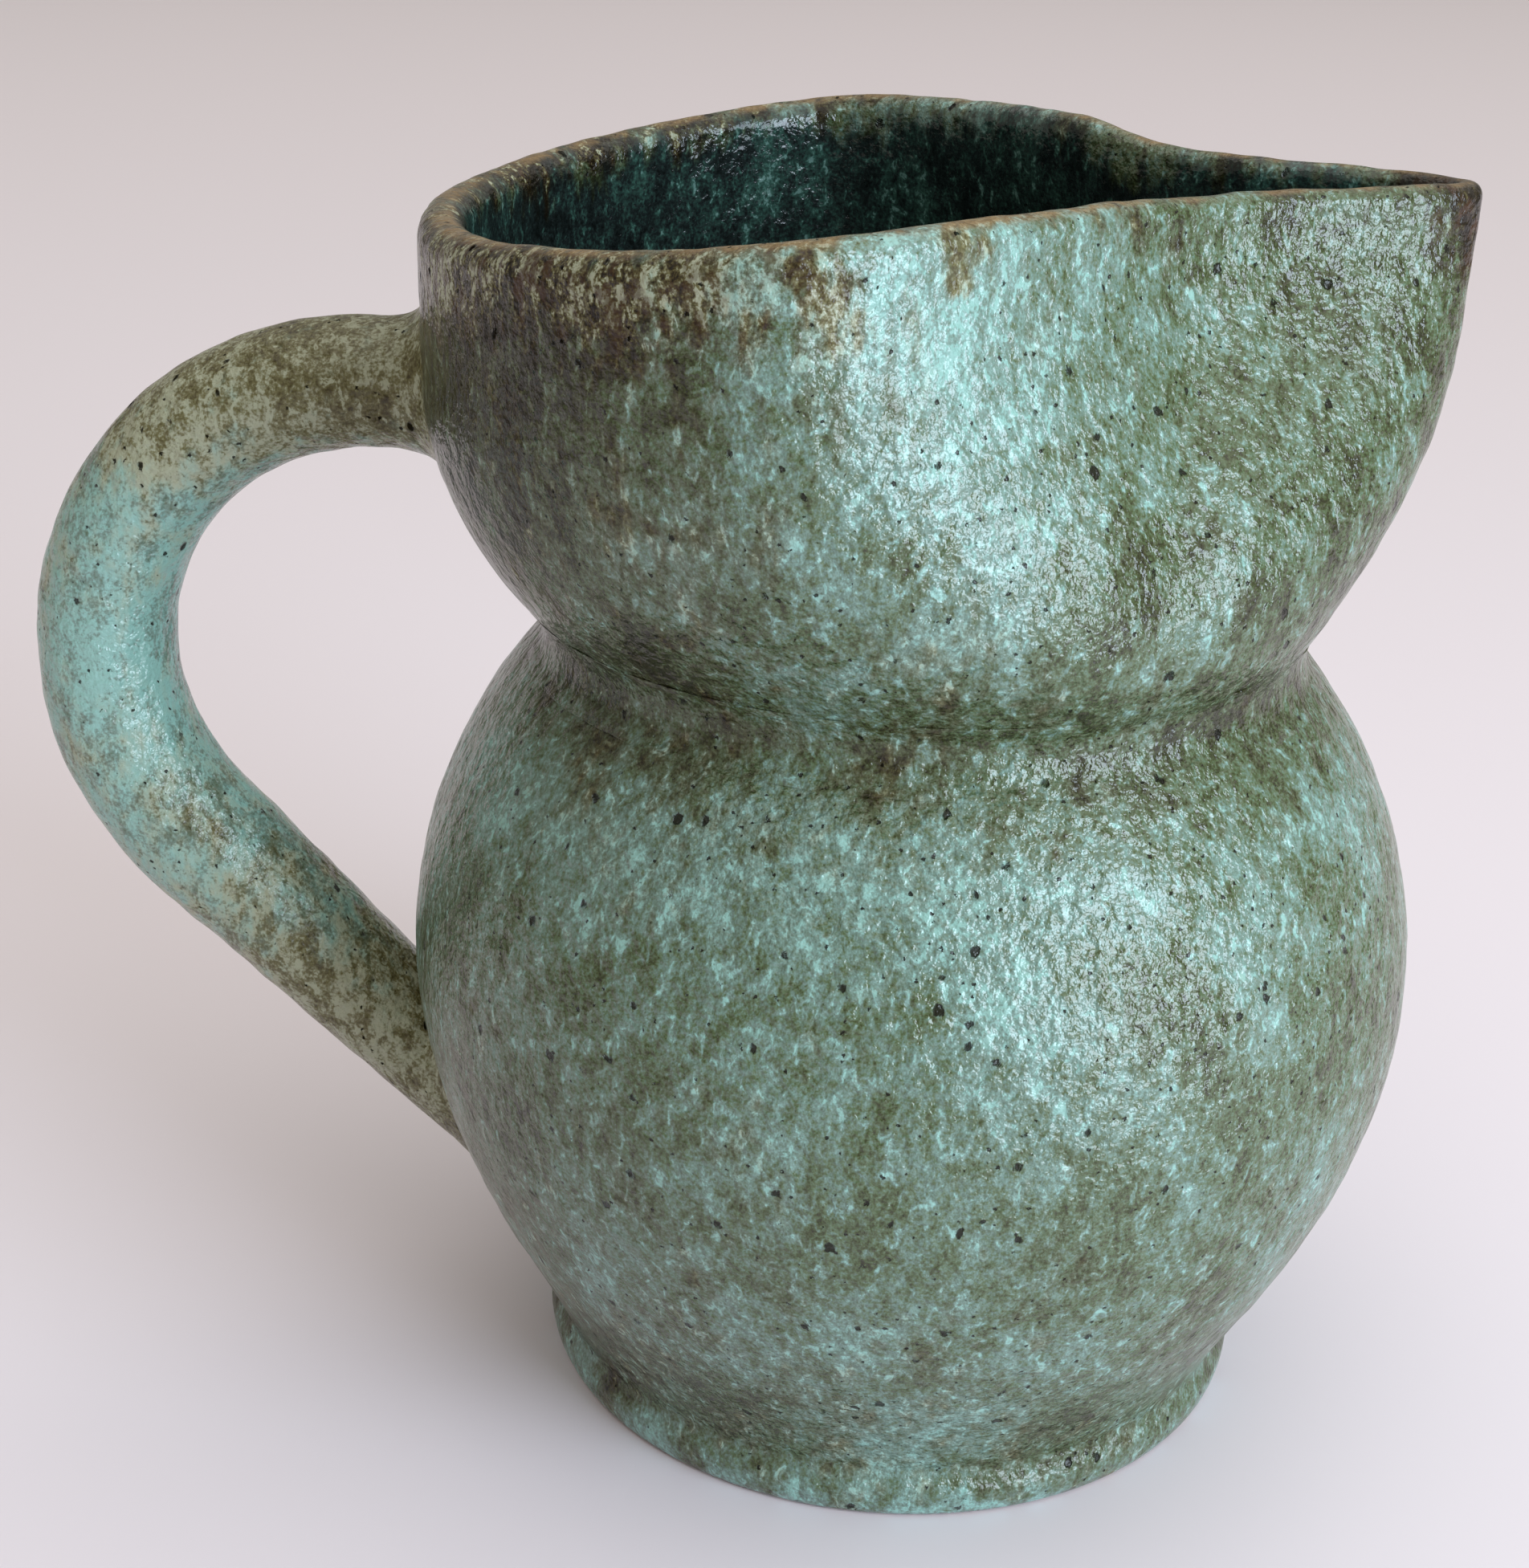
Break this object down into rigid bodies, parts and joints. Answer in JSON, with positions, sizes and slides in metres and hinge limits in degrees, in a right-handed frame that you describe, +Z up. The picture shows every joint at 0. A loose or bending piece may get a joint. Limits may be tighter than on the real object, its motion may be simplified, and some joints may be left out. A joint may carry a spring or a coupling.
{
  "type": "pottery pouring jug",
  "caption": "Hand-made glazed pouring jug with a round belly on a low foot, a tight waist, an open bowl pinched into a spout, and a rolled loop handle.",
  "frame": {"origin": "on the belly's upright axis, at the table", "axes": "+X out of the spout, -X to the handle, +Z up"},
  "size_m": [0.207, 0.15, 0.1863],
  "materials": {
    "glaze_body": "mottled grey-green and turquoise gloss glaze, with olive and brown patches and pinholes",
    "glaze_handle": "pale turquoise gloss glaze, olive brown towards the roots",
    "glaze_foot": "greyer gloss glaze with a turquoise line at the lower edge"
  },
  "bodies": {
    "root": {"floor_disc": "glaze_foot", "foot_ring": "glaze_foot", "belly_wall": "glaze_body", "waist_fillet": "glaze_body", "bowl_wall": "glaze_body", "handle": "glaze_handle", "upper_handle_fillet": "glaze_handle", "lower_handle_fillet": "glaze_handle"}
  },
  "joints": []
}
